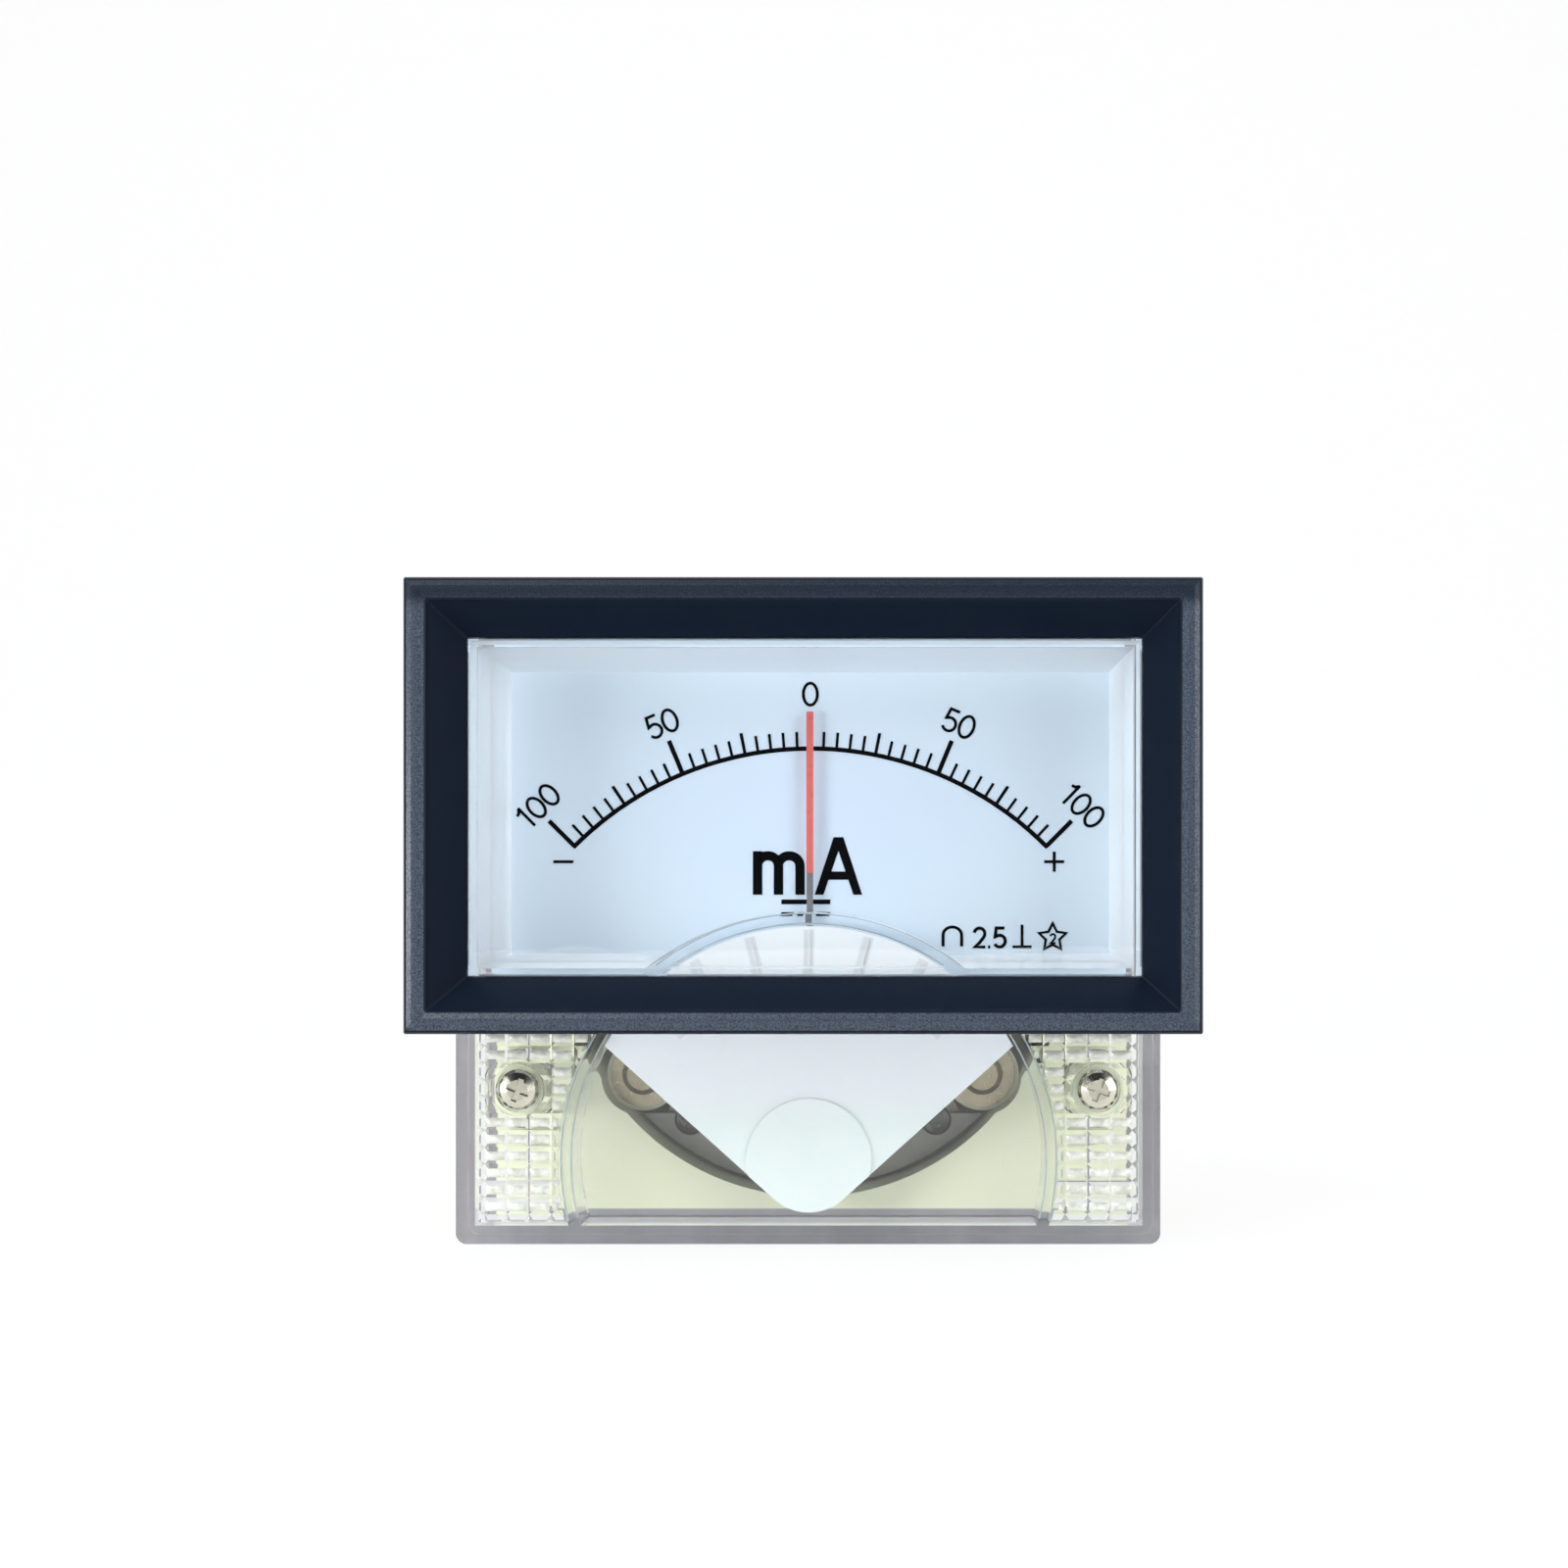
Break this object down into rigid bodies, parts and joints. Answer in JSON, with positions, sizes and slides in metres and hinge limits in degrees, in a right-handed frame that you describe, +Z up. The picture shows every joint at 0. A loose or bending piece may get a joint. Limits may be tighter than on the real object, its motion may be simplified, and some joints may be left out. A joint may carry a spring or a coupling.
{
  "type": "analog panel meter",
  "caption": "Rectangular moving-coil panel meter with centre-zero scale, black bezel, clear cover, white fan over the movement and rear stud terminals.",
  "frame": {"origin": "centre of the window box on the panel's front face, which the bezel's back meets", "axes": "+Z up, front faces -Y, terminals point to +Y, +X to the right seen from the front"},
  "size_m": [0.07, 0.0559, 0.06],
  "materials": {
    "black_plastic": "moulded black, fine grain on the rim",
    "clear_plastic": "clear moulding",
    "white_plastic": "white moulding",
    "dial_sheet": "pale blue print on thin sheet",
    "black_ink": "printed ink",
    "nickel": "nickel plate",
    "dark_steel": "blued steel",
    "cream_plastic": "cream moulding",
    "die_cast": "as cast",
    "soft_iron": "ground",
    "brass": "turned",
    "thin_aluminium": "thin sheet",
    "copper_wire": "enamelled copper wire",
    "red_paint": "red enamel",
    "bronze": "spring bronze",
    "red_wire": "insulated wire"
  },
  "bodies": {
    "housing": {"bezel_frame": "black_plastic", "front_cover": "clear_plastic", "fan_mask": "white_plastic", "dial_plate": "dial_sheet", "scale_print": "black_ink", "dial_screws": "nickel", "pointer_stops": "dark_steel", "base_housing": "cream_plastic", "cover_screw_left": "nickel", "cover_screw_right": "nickel", "movement_frame": "die_cast", "frame_screws": "dark_steel", "yoke_ring": "soft_iron", "core_magnet": "soft_iron", "core_supports": "die_cast", "front_bridge": "brass", "rear_bridge": "brass", "bridge_screws": "nickel", "front_jewel_screw": "brass", "rear_jewel_screw": "brass", "front_hairspring": "bronze", "terminal_studs": "brass", "solder_lugs": "nickel", "lead_wires": "red_wire", "terminal_nuts": "brass", "flat_washers": "nickel", "spring_washers": "nickel"},
    "moving_coil": {"coil_former": "thin_aluminium", "coil_winding": "copper_wire", "pivot_staffs": "dark_steel", "pointer_arm": "thin_aluminium", "pointer_blade": "red_paint", "balance_weights": "nickel"},
    "zero_lever": {"zero_lever": "brass", "rear_hairspring": "bronze"},
    "zero_adjuster": {"zero_adjuster": "black_plastic"}
  },
  "joints": [
    {"name": "needle", "type": "hinge", "parent": "housing", "child": "moving_coil", "pos_m": [0, 0.018, -0.0255], "axis": [0, 1, 0], "range_deg": [-48, 48], "stiffness_Nm_per_rad": 0.00002},
    {"name": "zero_turn", "type": "hinge", "parent": "housing", "child": "zero_adjuster", "pos_m": [0, 0.036, -0.0315], "axis": [0, 1, 0], "range_deg": [-36, 36]},
    {"name": "lever_turn", "type": "hinge", "parent": "housing", "child": "zero_lever", "pos_m": [0, 0.0275, -0.0255], "axis": [0, 1, 0], "range_deg": [-9, 9]}
  ],
  "couplings": [
    {"joint": "lever_turn", "follows": "zero_turn", "ratio": -0.23}
  ]
}
